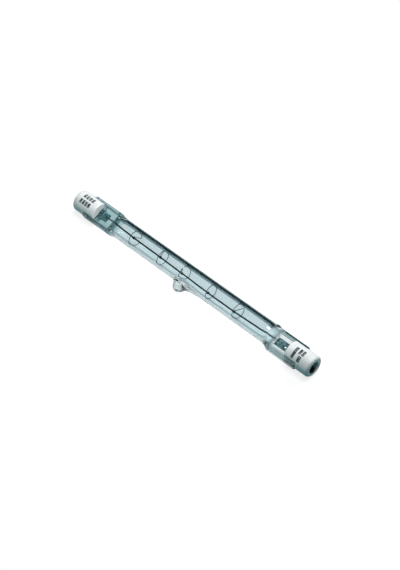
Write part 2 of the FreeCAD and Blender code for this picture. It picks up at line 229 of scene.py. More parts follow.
for end, side in SIDES.items():
    foil = foil_strip(end)
    material, surface, place = new_finish(f"molybdenum_foil_{end}")
    local = press_place(place, end)
    along, across, _ = split(local)
    outer_low, outer_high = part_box(f"outer_lead_{end}")
    inner_low, inner_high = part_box(f"inner_lead_{end}")
    outer_weld = (outer_low if side > 0 else outer_high).x
    inner_weld = (inner_high if side > 0 else inner_low).x - side * WELD_RADIUS
    mark = spot(along, across, outer_weld + side * WELD_RADIUS, WELD_RADIUS)
    ring = spot(along, across, inner_weld, WELD_RADIUS)
    ring = ring - spot(along, across, inner_weld, WELD_RADIUS * 0.6)
    rolled = noise(drawn_out(local, (0.15, 1, 1)), 0.12 * MM)
    stained = noise(local, 0.9 * MM, detail=3)
    # The left foil's colours are scaled paler, as painted light
    greys = [[part * FOIL_PAINTED_PALENESS[end] for part in grey] for grey in (FOIL_GREY, FOIL_PALE)]
    grey = mixed(step(stained, 0.35, 0.65), *greys)
    dress(surface, {
        "Metallic": 1.0,
        "Base Color": mixed(mark + ring * 0.35, grey, FOIL_BRIGHT),
        "Roughness": 0.34 + rolled * 0.2 - mark * 0.15,
        "Normal": bump(rolled, 0.004 * MM),
    })
    foil.data.materials.append(material)
    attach(foil, "root")
    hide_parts(f"foil_{end}")


# Leads. The inner leads run from the coil's ends into the web, and the outer ones from the foils
# out through the cement to the contacts. They are drawn molybdenum wire, flattened where they are
# welded, and grey where the pressing has heated them.
LEAD_GREY = (0.10, 0.145, 0.150)
LEAD_DARK = (0.035, 0.060, 0.062)


def put_on(node, material):
    """Gives a frame node a better finish, in place of the plain one that it was packed with."""
    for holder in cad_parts[node].material_slots:
        holder.material = material


material, surface, place = new_finish("molybdenum_wire")
drawn = noise(drawn_out(place, (0.08, 1, 1)), 0.05 * MM)
heated = noise(place, 0.8 * MM, detail=3)
dress(surface, {
    "Metallic": 1.0,
    "Base Color": mixed(step(heated, 0.35, 0.7), LEAD_GREY, LEAD_DARK),
    "Roughness": 0.3 + drawn * 0.25,
    "Normal": bump(drawn, 0.003 * MM),
})
for end in SIDES:
    put_on(f"inner_lead_{end}", material)
    put_on(f"outer_lead_{end}", material)


# Filament. A tungsten wire, wound into one long close coil that runs from one inner lead to the
# other. The supports pull it a little to one side, and it runs straight between them. After
# burning, the wire is a dull dark grey.
COIL_OUTSIDE = 0.66 * MM
COIL_WIRE = 0.20 * MM
COIL_PITCH = 0.215 * MM
COIL_STEPS = 12
# How far from the tube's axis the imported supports' eyes reach
EYE_REACH = 2 * MM
TUNGSTEN = (0.005, 0.018, 0.020)
TUNGSTEN_PALE = (0.020, 0.044, 0.048)

coil_low, coil_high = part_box("filament_coil")
tube_axis = PRESS_AXIS["left"]
support_nodes = sorted(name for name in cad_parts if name.startswith("filament_support"))


def eye_of(node):
    """Where a support holds the coil: the middle of the small eye round it, near the axis."""
    corners = [corner.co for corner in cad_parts[node].data.vertices]
    near = [place for place in corners if (place - tube_axis).yz.length < EYE_REACH]
    eye = [place.y for place in near if place.z < tube_axis.z]
    return Vector((middle(node).x, (min(eye) + max(eye)) / 2, tube_axis.z))


def coil_path():
    """The coil's middle line: a bend at each support and straight in between."""
    ends = []
    for end, side in SIDES.items():
        lead = middle(f"inner_lead_{end}")
        ends.append(Vector((coil_low.x if side < 0 else coil_high.x, lead.y, tube_axis.z)))
    return [ends[0]] + [eye_of(node) for node in support_nodes] + [ends[1]]


COIL_PATH = coil_path()


def coil_aside(station):
    """How far to one side the coil's middle line runs at a station."""
    for start, finish in zip(COIL_PATH, COIL_PATH[1:]):
        if station <= finish.x or finish is COIL_PATH[-1]:
            share = (station - start.x) / (finish.x - start.x)
            return start.y + (finish.y - start.y) * min(max(share, 0), 1)


def winding(start, finish):
    """Points along the wire of the coil, turn after turn, from one end of it to the other."""
    radius = (COIL_OUTSIDE - COIL_WIRE) / 2
    steps = round((finish - start) / COIL_PITCH * COIL_STEPS)
    path = []
    for index in range(steps + 1):
        station = start + (finish - start) * index / steps
        turn = math.tau * index / COIL_STEPS
        aside = coil_aside(station) + radius * math.cos(turn)
        path.append(Vector((station, aside, tube_axis.z + radius * math.sin(turn))))
    return path


def bent_wire(name, path, thickness, sides=8, smoothing=2):
    """A round wire along a smooth path, made a mesh."""
    line = bpy.data.curves.new(name, "CURVE")
    line.dimensions = "3D"
    line.bevel_depth = thickness / 2
    line.bevel_resolution = sides // 2 - 2
    line.use_fill_caps = True
    line.resolution_u = smoothing
    run = line.splines.new("NURBS")
    run.points.add(len(path) - 1)
    for point, place in zip(run.points, path):
        point.co = (*place, 1)
    run.order_u = 3
    run.use_endpoint_u = True
    drawn = bpy.data.objects.new(name, line)
    swept = bmesh.new()
    swept.from_mesh(bpy.data.meshes.new_from_object(drawn))
    bpy.data.objects.remove(drawn)
    bmesh.ops.remove_doubles(swept, verts=swept.verts, dist=thickness / 1000)
    bmesh.ops.recalc_face_normals(swept, faces=swept.faces)
    return shape_mesh(name, swept)


wound = winding(coil_low.x + COIL_WIRE / 2, coil_high.x - COIL_WIRE / 2)
coil = bent_wire("coiled_filament", wound, COIL_WIRE, sides=6, smoothing=1)

material, surface, place = new_finish("burnt_tungsten")
grain = noise(place, 0.05 * MM, detail=3)
darkened = noise(drawn_out(place, (1, 0, 0)), 4 * MM)
dress(surface, {
    "Metallic": 1.0,
    "Base Color": mixed(step(darkened, 0.45, 0.8), TUNGSTEN, TUNGSTEN_PALE),
    "Roughness": 0.38 + grain * 0.2,
    "Normal": bump(grain, 0.004 * MM),
})
coil.data.materials.append(material)
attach(coil, "root")
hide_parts("filament_coil")


# Filament supports. Each is bent from one thin tungsten wire: an open loop that springs against
# the inside of the tube, a leg in to the middle, and a tight turn or two round the coil, which it
# holds off the hot quartz. No two are bent alike.
SUPPORT_WIRE = 0.26 * MM
LOOP_RADIUS = 2.88 * MM
GRIP_TURNS = 1.7
GRIP_START = -0.3 * MM
GRIP_PITCH = SUPPORT_WIRE * 1.05
LOOP_STEPS = 48
GRIP_STEPS = 14
LEG_SHARES = (0.12, 0.5, 0.85)
# The way that is up in the picture, as an angle about the lamp from its +Y side
UP = math.radians(33.5)
# For each support: where its leg leaves the loop and how far the loop runs on from there, in
# degrees from the top with the near side first, and how far the loop leans along the lamp to
# either side and how far it stands ahead of the grip, in mm
SUPPORT_BENDS = (
    (298, 325, 0.62, 0.60),
    (38, 350, 0.26, 0.58),
    (70, 345, 0.46, 0.72),
    (120, 350, 0.16, 0.45),
    (322, 350, 0.50, 0.75),
)


def around(station, angle, radius):
    """The place at an angle round the tube, in degrees from the top."""
    turn = UP + math.radians(angle)
    return tube_axis + Vector((station, radius * math.cos(turn), radius * math.sin(turn)))


def support_path(eye, leg_angle, sweep, lean, ahead):
    """Loop first, then the leg, then the grip on the coil."""
    path = []
    for index in range(LOOP_STEPS + 1):
        share = index / LOOP_STEPS
        angle = leg_angle + sweep * (1 - share)
        station = eye.x + (ahead - lean * math.sin(math.radians(angle))) * MM
        path.append(around(station, angle, LOOP_RADIUS))
    grip_radius = (COIL_OUTSIDE + SUPPORT_WIRE) / 2
    grip = []
    for index in range(round(GRIP_TURNS * GRIP_STEPS) + 1):
        turn = UP + math.radians(leg_angle) + math.tau * index / GRIP_STEPS
        along = GRIP_START + GRIP_PITCH * index / GRIP_STEPS
        reach = Vector((along, grip_radius * math.cos(turn), grip_radius * math.sin(turn)))
        grip.append(eye + reach)
    leg = [path[-1].lerp(grip[0], share) for share in LEG_SHARES]
    return path + leg + grip


material, surface, place = new_finish("support_tungsten")
grain = noise(place, 0.08 * MM, detail=3)
dress(surface, {
    "Metallic": 1.0,
    "Base Color": mixed(grain, TUNGSTEN, TUNGSTEN_PALE),
    "Roughness": 0.3 + grain * 0.2,
    "Normal": bump(grain, 0.003 * MM),
})
for node, bends in zip(support_nodes, SUPPORT_BENDS):
    name = node.replace("filament_support", "coil_support")
    support = bent_wire(name, support_path(eye_of(node), *bends), SUPPORT_WIRE)
    support.data.materials.append(material)
    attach(support, "root")
    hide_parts(node)


# Quartz envelope. A thick tube of fused quartz, flattened at both ends between hot jaws that leave
# a thin web with a rib along each edge. The lump at its side is where the exhaust tube was melted
# off after the gas went in. It is clear, with a cold tint through its thickness.
TUBE_CLEARANCE = 0.005 * MM
TUBE_RADIUS = tube_axis.z - TUBE_CLEARANCE
BORE_RADIUS = 3.15 * MM
# Distances from the lamp's middle. The wall bends in from where the shoulder starts, on a large
# radius, it closes fast past the straight part, and it widens over the flare to the pressed width
SHOULDER_START = 35.6 * MM
SHOULDER_BEND = 9.0 * MM
FLARE_START = 36.3 * MM
STRAIGHT_END = 38.2 * MM
FLARE_END = 39.8 * MM
CAVITY_END = 40.2 * MM
WEB_START = 40.6 * MM
GLASS_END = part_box("quartz_envelope")[1].x
CAVITY_SLIT = 0.12 * MM
PRESS_HALF_WIDTH = 4.6 * MM
WEB_HALF = 0.76 * MM
RIB_HALF = 1.58 * MM
RIB_INNER = 3.53 * MM
RIB_FILLET = 0.12 * MM
RIB_EDGE = 0.5 * MM
END_ROUNDING = 0.7 * MM
END_EDGE = 0.25 * MM

NUB_STATION = -2.6 * MM
NUB_LEAN = math.radians(180 + 23.46)
# The nub's outline from its top to where it has run out into the wall: the share of the way out,
# the distance from its own axis and the height above the tube, in mm
NUB_OUTLINE = (
    (0.00, 0.00, 3.28),
    (0.16, 0.95, 3.17),
    (0.30, 1.75, 2.72),
    (0.40, 2.20, 2.10),
    (0.50, 2.42, 1.35),
    (0.60, 2.66, 0.92),
    (0.72, 3.00, 0.52),
    (0.86, 3.40, 0.18),
    (1.00, 3.90, 0.00),
)
# How much further it runs out along the lamp to the right, in mm
NUB_FLARE = 4.6
# How uneven it was left: its swellings, the slope of its top, and a dent beside it
NUB_LUMP = 0.09
NUB_SLOPE = 0.05
NUB_DENT = 0.30 * MM
NUB_DENT_ASIDE = 1.1 * MM
NUB_DENT_RADIUS = 0.7 * MM
# It keeps this far above the table, and its foot within this share of the wall's own radius
REST_HEIGHT = 0.01 * MM
FOOT_LIMIT = 0.98
# The outline of the channel inside it, which the gas went in by
CHANNEL_OUTLINE = (
    (0.00, 0.00, 1.05),
    (0.25, 0.34, 0.98),
    (0.45, 0.52, 0.70),
    (0.65, 0.66, 0.36),
    (0.82, 0.86, 0.10),
    (1.00, 1.30, 0.00),
)

# The rings of corners that the tube is made from: how many corners they have, how far apart they
# stand, how many turn each end in, and how far the close rings at the nub reach to either side
OUTER_CORNERS = 128
BORE_CORNERS = 96
TUBE_STEP = 3 * MM
SHOULDER_STEP = 0.25 * MM
PRESS_STEP = 1.0 * MM
NUB_STEP = 0.22 * MM
CHANNEL_STEP = 0.13 * MM
SHOULDER_RINGS = 14
GLASS_END_RINGS = 6
BORE_END_RINGS = 12
NUB_LEFT = 4.2 * MM
NUB_RIGHT = 9.0 * MM
CHANNEL_HALF = 1.3 * MM
# Below this distance from the nub's axis, and this sine of a corner's angle, both count as none
NO_DISTANCE = 1e-9
NO_ANGLE = 1e-6


def held(value, low, high):
    return min(max(value, low), high)


def eased(value, low, high):
    """Rises smoothly from 0 at one value to 1 at another, as step does for a finish."""
    share = held((value - low) / (high - low), 0, 1)
    return share * share * (3 - 2 * share)


def along_outline(outline, share, column):
    """A value of an outline at a share of the way along it."""
    for before, after in zip(outline, outline[1:]):
        if share <= after[0]:
            part = (share - before[0]) / (after[0] - before[0])
            return before[column] + (after[column] - before[column]) * part
    return outline[-1][column]


def unit_tube(stations, corners):
    """A closed tube of radius 1 with a ring of corners at each station."""
    grown = bmesh.new()
    bmesh.ops.create_circle(grown, cap_ends=True, segments=corners, radius=1)
    upright = Matrix.Translation((stations[0], 0, 0)) @ Matrix.Rotation(math.pi / 2, 4, "Y")
    bmesh.ops.transform(grown, matrix=upright, verts=grown.verts)
    edges = grown.edges[:]
    for before, after in zip(stations, stations[1:]):
        added = bmesh.ops.extrude_edge_only(grown, edges=edges)["geom"]
        ring = {part for part in added if isinstance(part, bmesh.types.BMVert)}
        bmesh.ops.translate(grown, vec=(after - before, 0, 0), verts=list(ring))
        added_edges = [part for part in added if isinstance(part, bmesh.types.BMEdge)]
        edges = [edge for edge in added_edges if set(edge.verts) <= ring]
    bmesh.ops.contextual_create(grown, geom=edges)
    return grown


def spread(low, high, spacing):
    """Evenly spaced stations from one value up to, but without, the next."""
    count = max(1, round((high - low) / spacing))
    return [low + (high - low) * index / count for index in range(count)]


def turning_in(low, high, rings):
    """Stations from one value up to, but without, the next, closer and closer together."""
    shares = [math.sin(math.pi / 2 * index / rings) for index in range(rings)]
    return [low + (high - low) * share for share in shares]


def mirrored(stations):
    return [-station for station in reversed(stations)]


def twist(station):
    """How far a ring of corners is turned, so that its corners meet each flat in the same way."""
    share = eased(station, -STRAIGHT_END, STRAIGHT_END)
    return PRESS_ROLL["left"] + (PRESS_ROLL["right"] - PRESS_ROLL["left"]) * share


def centre_of(station):
    """The middle of the glass: the tube's axis, or on its way from there to a pressed end's."""
    end = "left" if station < 0 else "right"
    return tube_axis.lerp(PRESS_AXIS[end], eased(abs(station), STRAIGHT_END, WEB_START))


def press_height(across):
    """Half the thickness of a pressed end at a distance from its middle."""
    rib = eased(across, RIB_INNER - RIB_FILLET, RIB_INNER + RIB_FILLET)
    core = PRESS_HALF_WIDTH - RIB_EDGE
    over = held(across - core, 0, RIB_EDGE)
    edge = RIB_HALF - RIB_EDGE + math.sqrt(RIB_EDGE ** 2 - over ** 2)
    return WEB_HALF + (edge - WEB_HALF) * rib


def nub_shift(point, radius, outline, flare=0, lumpy=False):
    """Moves a point of the tube's wall out along the nub's outline, if it lies at the nub."""
    outwards = Vector((0, math.cos(NUB_LEAN), math.sin(NUB_LEAN)))
    sideways = Vector((0, -outwards.z, outwards.y))
    from_axis = point - tube_axis
    if from_axis.dot(outwards) <= 0:
        return point
    along = point.x - NUB_STATION
    aside = from_axis.dot(sideways)
    distance = max(math.hypot(along, aside), NO_DISTANCE)
    reach = outline[-1][1] * MM + flare * MM * max(along / distance, 0) ** 2
    share = distance / reach
    if share >= 1:
        return point
    new_distance = along_outline(outline, share, 1) * MM
    new_distance += (distance - new_distance) * eased(share, 0.5, 1)
    rise = along_outline(outline, share, 2) * MM
    if lumpy:
        bearing = math.atan2(aside, along)
        rough = 0.5 * math.sin(3 * bearing + 0.8) + 0.5 * math.sin(5 * bearing - 1.3 + 2 * share)
        flank = math.sin(math.pi * min(share / 0.9, 1))
        dent = ((along + NUB_DENT_ASIDE) ** 2 + aside ** 2) / NUB_DENT_RADIUS ** 2
        new_distance *= 1 + NUB_LUMP * rough * flank
        rise *= 1 - NUB_SLOPE * (1 + math.sin(4 * bearing + 1.0)) * flank
        rise -= NUB_DENT * math.exp(-dent)
    scale = new_distance / distance
    side_now = min(aside * scale, radius * FOOT_LIMIT)
    level = math.sqrt(radius ** 2 - side_now ** 2)
    shifted = tube_axis + outwards * (level + rise) + sideways * side_now
    shifted.x = NUB_STATION + along * scale
    shifted.z = max(shifted.z, REST_HEIGHT)
    return shifted


def outer_place(station, angle):
    """A point of the outer skin, for a corner of the plain tube that it is made from."""
    distance = abs(station)
    across, out = TUBE_RADIUS * math.cos(angle), TUBE_RADIUS * math.sin(angle)
    flared = eased(distance, FLARE_START, FLARE_END)
    past = held((distance - STRAIGHT_END) / (WEB_START - STRAIGHT_END), 0, 1)
    # The pressed end's own section there, with its corners and its end edges rounded
    over = held(distance - (GLASS_END - END_ROUNDING), 0, END_ROUNDING)
    half_width = PRESS_HALF_WIDTH - END_ROUNDING + math.sqrt(END_ROUNDING ** 2 - over ** 2)
    near_end = held(distance - (GLASS_END - END_EDGE), 0, END_EDGE)
    edge_loss = END_EDGE - math.sqrt(END_EDGE ** 2 - near_end ** 2)
    flat_across = half_width * math.cos(angle)
    thickness = press_height(abs(PRESS_HALF_WIDTH * math.cos(angle))) - edge_loss
    flat_out = math.copysign(thickness, math.sin(angle))
    if abs(math.sin(angle)) < NO_ANGLE:
        flat_out = 0
    if abs(flat_out) > abs(out):
        out += (flat_out - out) * flared
    else:
        out = flat_out + (out - flat_out) * math.cos(math.pi / 2 * past)
    across += (flat_across - across) * flared
    drop = max(distance - SHOULDER_START, 0) ** 2 / (2 * SHOULDER_BEND)
    out *= 1 - drop / TUBE_RADIUS * (1 - past)
    point = centre_of(station) + Matrix.Rotation(twist(station), 4, "X") @ Vector((0, across, out))
    point.x = station
    return nub_shift(point, TUBE_RADIUS, NUB_OUTLINE, NUB_FLARE, lumpy=True)


def bore_place(station, angle):
    """A point of the inner skin: the bore, which closes to a slit where the web starts."""
    past = held((abs(station) - STRAIGHT_END) / (CAVITY_END - STRAIGHT_END), 0, 1)
    half = CAVITY_SLIT + (BORE_RADIUS - CAVITY_SLIT) * math.cos(math.pi / 2 * past)
    across, out = BORE_RADIUS * math.cos(angle), half * math.sin(angle)
    point = centre_of(station) + Matrix.Rotation(twist(station), 4, "X") @ Vector((0, across, out))
    point.x = station
    return nub_shift(point, BORE_RADIUS, CHANNEL_OUTLINE)


def skin(stations, corners, place_of):
    """A closed tube with each of its corners moved to its place on the lamp."""
    grown = unit_tube(stations, corners)
    for corner in grown.verts:
        corner.co = place_of(corner.co.x, math.atan2(corner.co.z, corner.co.y))
    bmesh.ops.recalc_face_normals(grown, faces=grown.faces)
    return grown


nub_low, nub_high = NUB_STATION - NUB_LEFT, NUB_STATION + NUB_RIGHT
pressed_end = spread(SHOULDER_START, STRAIGHT_END, SHOULDER_STEP)
pressed_end += turning_in(STRAIGHT_END, WEB_START, SHOULDER_RINGS)
pressed_end += spread(WEB_START, GLASS_END - END_ROUNDING, PRESS_STEP)
pressed_end += turning_in(GLASS_END - END_ROUNDING, GLASS_END, GLASS_END_RINGS) + [GLASS_END]
outer_stations = mirrored(spread(-nub_low, SHOULDER_START, TUBE_STEP) + pressed_end)
outer_stations += spread(nub_low, nub_high, NUB_STEP)[1:]
outer_stations += spread(nub_high, SHOULDER_START, TUBE_STEP) + pressed_end
outer = skin(outer_stations, OUTER_CORNERS, outer_place)

channel_low, channel_high = NUB_STATION - CHANNEL_HALF, NUB_STATION + CHANNEL_HALF
bore_end = turning_in(STRAIGHT_END, CAVITY_END, BORE_END_RINGS) + [CAVITY_END]
bore_stations = mirrored(spread(-channel_low, STRAIGHT_END, TUBE_STEP) + bore_end)
bore_stations += spread(channel_low, channel_high, CHANNEL_STEP)[1:]
bore_stations += spread(channel_high, STRAIGHT_END, TUBE_STEP) + bore_end
inner = skin(bore_stations, BORE_CORNERS, bore_place)
bmesh.ops.reverse_faces(inner, faces=inner.faces)

hollow = bpy.data.meshes.new("hollow")
inner.to_mesh(hollow)
inner.free()
outer.from_mesh(hollow)
bpy.data.meshes.remove(hollow)
glass = shape_mesh("quartz_tube", outer)

QUARTZ_TINT = (0.74, 0.83, 0.85)
QUARTZ_PALE = (0.78, 0.86, 0.88)
# The nub's glass is left almost untinted, as painted light that makes it lighter
NUB_PAINTED_LIGHT_TINT = (0.97, 0.99, 1.0)
# Painted shade in the glass: the left pressed end and the right ribs are tinted darker
LEFT_PRESS_PAINTED_SHADE = (0.35, 0.52, 0.54)
RIGHT_RIB_PAINTED_SHADE = (0.31, 0.47, 0.48)
# The band where the bore closes is painted with shade, darkest at the left end
LEFT_BAND_PAINTED_SHADE = (0.03, 0.11, 0.12)
RIGHT_BAND_PAINTED_SHADE = (0.42, 0.55, 0.56)
BAND_STATION = 40.45 * MM
BAND_HALF = 0.65 * MM
DEPTH_COLOUR = (0.10, 0.14, 0.15)
DEPTH_DENSITY = 45
SHADOW_TINT = (0.86, 0.88, 0.88)
STRAIGHT_TINT = (0.89, 0.97, 0.98)
# Zones of the glass, each given by the two places between which it sets in or ends
SHOULDER_FROM = (37.5 * MM, 38.7 * MM)
SHOULDER_TO = (39.6 * MM, 40.4 * MM)
CLOSING_FROM = (39.7 * MM, 40.2 * MM)
CLOSING_TO = (41.0 * MM, 41.5 * MM)
NUB_FROM = (TUBE_RADIUS - 1.4 * MM, TUBE_RADIUS - 0.2 * MM)
NUB_TO = (3.5 * MM, 6 * MM)
# How rough the glass is there, where it was melted uneven, and how much of what lies behind it shows
# straight through, as painted light that lightens the right shoulder and the nub
NUB_ROUGHNESS = 0.22
CLOSING_ROUGHNESS = 0.40
SHOULDER_PAINTED_SEE_THROUGH = 0.5
NUB_PAINTED_SEE_THROUGH = 0.15


def between(value, rise, fall):
    """1 from one zone's edge to another's, with soft edges."""
    return step(value, *rise) * (1 - step(value, *fall))


def mixed_shader(mask, first, second):
    return mask.node("ShaderNodeMixShader", {}, {0: mask, 1: first, 2: second})


material, surface, place = new_finish("fused_quartz")
along, aside, up = split(place)
_, across_right, _ = split(press_place(place, "right"))
streaks = noise(drawn_out(place, (0.2, 1, 1)), 1.5 * MM)
ripples = noise(place, 3.0 * MM, detail=1)
# The left pressed end, the right ribs and the bands where the bore closes are tinted darker, as
# painted shade
left_press_shade = step(along * -1, STRAIGHT_END, WEB_START)
left_band_shade = 1 - step(abs(along + BAND_STATION), BAND_HALF * 0.6, BAND_HALF)
right_band_shade = 1 - step(abs(along - BAND_STATION), BAND_HALF * 0.6, BAND_HALF)
right_rib_shade = step(abs(across_right), RIB_INNER - RIB_FILLET, RIB_INNER)
right_rib_shade = right_rib_shade * step(along, STRAIGHT_END, WEB_START)
right_shoulder = between(along, SHOULDER_FROM, SHOULDER_TO)
closing = between(abs(along), CLOSING_FROM, CLOSING_TO)
outwards = (aside - tube_axis.y) * math.cos(NUB_LEAN) + (up - tube_axis.z) * math.sin(NUB_LEAN)
melted_nub = step(outwards, *NUB_FROM) * (1 - step(abs(along - NUB_STATION), *NUB_TO))
tint = mixed(right_rib_shade, mixed(streaks, QUARTZ_TINT, QUARTZ_PALE), RIGHT_RIB_PAINTED_SHADE)
tint = mixed(right_band_shade, tint, RIGHT_BAND_PAINTED_SHADE)
tint = mixed(left_press_shade, tint, LEFT_PRESS_PAINTED_SHADE)
tint = mixed(left_band_shade, tint, LEFT_BAND_PAINTED_SHADE)
dress(surface, {
    "Transmission Weight": 1.0,
    "IOR": 1.458,
    "Base Color": mixed(melted_nub, tint, NUB_PAINTED_LIGHT_TINT),
    "Roughness": melted_nub * NUB_ROUGHNESS + closing * CLOSING_ROUGHNESS,
    "Normal": bump(ripples, 0.002 * MM),
})
# The lamps' light passes on through the glass to the table, so that its shadow stays faint
# The right shoulder and the nub let part of what lies behind straight through, as painted light that
# makes them lighter
painted_see_through = right_shoulder * SHOULDER_PAINTED_SEE_THROUGH + melted_nub * NUB_PAINTED_SEE_THROUGH
straight = painted_see_through.node("ShaderNodeBsdfTransparent", {}, {"Color": colour(STRAIGHT_TINT)})
passing = painted_see_through.node("ShaderNodeBsdfTransparent", {}, {"Color": colour(SHADOW_TINT)})
lighting = painted_see_through.node("ShaderNodeLightPath", {}, {}).other("Is Shadow Ray")
depths = {"Color": colour(DEPTH_COLOUR), "Density": DEPTH_DENSITY}
depth = painted_see_through.node("ShaderNodeVolumeAbsorption", {}, depths)
clear = mixed_shader(painted_see_through, Shade(surface.outputs[0]), straight)
tree = material.node_tree
ends = tree.nodes["Material Output"].inputs
set_input(tree, ends["Surface"], mixed_shader(lighting, clear, passing))
set_input(tree, ends["Volume"], depth)
glass.data.materials.append(material)
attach(glass, "root")
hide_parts("quartz_envelope")


# Ceramic caps. Each is pressed and fired steatite, off-white and faintly sugary, slotted for the
# web and cemented on it. Short grey-black bars are stamped on its side, in two rows on the left cap
# and in a block on the right one.
CERAMIC = (0.86, 0.88, 0.88)
CERAMIC_COLD = (0.78, 0.82, 0.825)
# The inside of the recess is painted with shade, and the painted shade reaches a little further on
# its front side
RECESS_PAINTED_SHADE = (0.006, 0.014, 0.016)
RECESS_ASIDE = 0.3 * MM
RECESS_EDGE = (2.2 * MM, 2.4 * MM)
RECESS_ZONE = 52 * MM
STAMP_INK = (0.020, 0.040, 0.045)
# Rows of bars, as the stretch along the lamp and the distance down the cap as it is seen, in mm,
# and how many bars stand in the row
STAMP_ROWS = {
    "left": ((-56.1, -50.5, -3.0, -1.5, 4), (-56.2, -50.8, -0.8, 1.0, 4)),
    "right": ((50.6, 52.1, -2.6, 1.9, 1), (52.4, 55.1, -2.7, -0.7, 2), (53.2, 54.9, -0.3, 1.9, 1)),
}
# The part of its share of the row that a bar fills, and its specks, of which some print faintly
BAR_START = 0.08
BAR_STOP = 0.84
STAMP_DOT = 0.28 * MM
FAINT_DOTS = 0.4
FAINT_INK = 0.7
# Only the side of a cap that lies further than this from its axis, up and forward, takes the ink
STAMP_FACE = 1.5 * MM


def stamp_mask(place, along, down, rows):
    """1 where the ink is: rows of speckled bars with bare gaps between them."""
    dots = {"X": along / STAMP_DOT, "Y": down / STAMP_DOT, "Z": 0.5}
    cell = place.node("ShaderNodeCombineXYZ", {}, dots)
    whole = cell.node("ShaderNodeVectorMath", {"operation": "FLOOR"}, {0: cell})
    picked = whole.node("ShaderNodeTexWhiteNoise", {"noise_dimensions": "3D"}, {"Vector": whole})
    ink = FAINT_INK + (1 - FAINT_INK) * (picked > FAINT_DOTS)
    inked = along * 0
    for start, stop, top, bottom, bars in rows:
        inside = (along > start * MM) * (along < stop * MM) * (down > top * MM)
        counted = (along - start * MM) / ((stop - start) / bars * MM)
        part = counted.node("ShaderNodeMath", {"operation": "FRACT"}, {0: counted})
        bar = (part > BAR_START) * (part < BAR_STOP)
        inked = inked + inside * (down < bottom * MM) * bar * ink
    return inked


for end, side in SIDES.items():
    material, surface, place = new_finish(f"fired_ceramic_{end}")
    along, aside, up = split(place)
    aside, up = aside - PRESS_AXIS[end].y, up - PRESS_AXIS[end].z
    down = -math.cos(UP) * aside - math.sin(UP) * up
    toward = math.cos(UP) * up - math.sin(UP) * aside
    ink = stamp_mask(place, along, down, STAMP_ROWS[end]) * (toward > STAMP_FACE)
    # Painted shade in the recess, a little off its middle towards the front, with rougher ceramic
    # there
    from_middle = ((aside + RECESS_ASIDE) ** 2 + up ** 2) ** 0.5
    painted_recess_shade = (1 - step(from_middle, *RECESS_EDGE)) * (along * side > RECESS_ZONE)
    clouds = noise(place, 2.5 * MM, detail=4)
    sugar = noise(place, 0.09 * MM, detail=3)
    body = mixed(step(clouds, 0.3, 0.75), CERAMIC, CERAMIC_COLD)
    dress(surface, {
        "Base Color": mixed(painted_recess_shade, mixed(ink, body, STAMP_INK), RECESS_PAINTED_SHADE),
        "Roughness": 0.42 + sugar * 0.2 + painted_recess_shade * 0.38,
        "Subsurface Weight": 0.05,
        "Subsurface Radius": (0.4 * MM, 0.45 * MM, 0.45 * MM),
        "Subsurface Scale": 1.0,
        "Normal": bump(sugar, 0.006 * MM),
    })
    put_on(f"ceramic_cap_{end}", material)


# Contacts. A turned nickel-plated pin with a broad head, which the holder's sprung tip presses on.
# It is sunk below the cap's face and its plating is painted near black, as painted shade, with a
# lighter middle that is partly wear from the tip and partly a painted highlight.
CONTACT_PAINTED_SHADE = (0.020, 0.032, 0.036)
CONTACT_WEAR_AND_HIGHLIGHT = (0.30, 0.38, 0.40)
WEAR_AND_HIGHLIGHT_EDGE = (0.35 * MM, 0.95 * MM)
RING_CROWDING = 9
for end in SIDES:
    material, surface, place = new_finish(f"plated_contact_{end}")
    _, across, out = split(press_place(place, end))
    from_axis = (across ** 2 + out ** 2) ** 0.5
    turned = from_axis.node("ShaderNodeCombineXYZ", {}, {"X": from_axis * RING_CROWDING})
    rings = noise(turned, 0.5 * MM, detail=3)
    # The lighter middle, broken up: wear from the tip and a painted highlight
    wear_and_highlight = (1 - step(from_axis, *WEAR_AND_HIGHLIGHT_EDGE)) * step(noise(place, 0.3 * MM), 0.4, 0.7)
    dress(surface, {
        "Metallic": 1.0,
        "Base Color": mixed(wear_and_highlight, CONTACT_PAINTED_SHADE, CONTACT_WEAR_AND_HIGHLIGHT),
        "Roughness": 0.28 + rings * 0.25,
        "Normal": bump(rings, 0.008 * MM),
    })
    put_on(f"contact_{end}", material)


# Cement. A chalky paste that is pushed into the cap's slot round the web and fired hard. It is
# rougher and a little greyer than the ceramic.
CEMENT = (0.68, 0.71, 0.70)
CEMENT_DARK = (0.50, 0.54, 0.54)
material, surface, place = new_finish("fired_cement")
crumbs = noise(place, 0.15 * MM, detail=5)
dress(surface, {
    "Base Color": mixed(crumbs, CEMENT, CEMENT_DARK),
    "Roughness": 0.75 + crumbs * 0.2,
    "Normal": bump(crumbs, 0.03 * MM),
})
for end in SIDES:
    put_on(f"cement_{end}", material)


# The table. The lamp lies on a large sheet of matt white paper, whose own soft white the picture
# and the clear glass show, while what it throws back on the lamp is dimmer and colder.
SHEET_SIDE = 4.0
SHEET_UNDER = -0.02 * MM
SHEET_WHITE = (0.28, 0.28, 0.28)
SHEET_BOUNCE = (0.03, 0.19, 0.205)
SHEET_LIFT = 0.78
# Further off, where the lamps' light thins out, the sheet is lifted to the same white
LIFT_NEAR = (1, 1, 1)
LIFT_FAR = (1.3, 1.3, 1.3)
FAR_EDGE = (0.12, 0.50)
# The strip close under the tube, which only the glass shows, lies in the tube's own shade
SHADE_FRONT = (-4.6 * MM, -3.2 * MM)
SHADE_BACK = (-0.5 * MM, 0.6 * MM)
SHADE_GREY = (0.40, 0.44, 0.45)
BLACK = (0, 0, 0)


def flat_sheet(name, width, depth):
    flat = bmesh.new()
    bmesh.ops.create_grid(flat, x_segments=1, y_segments=1, size=0.5)
    bmesh.ops.scale(flat, vec=(width, depth, 1), verts=flat.verts)
    return shape_mesh(name, flat)


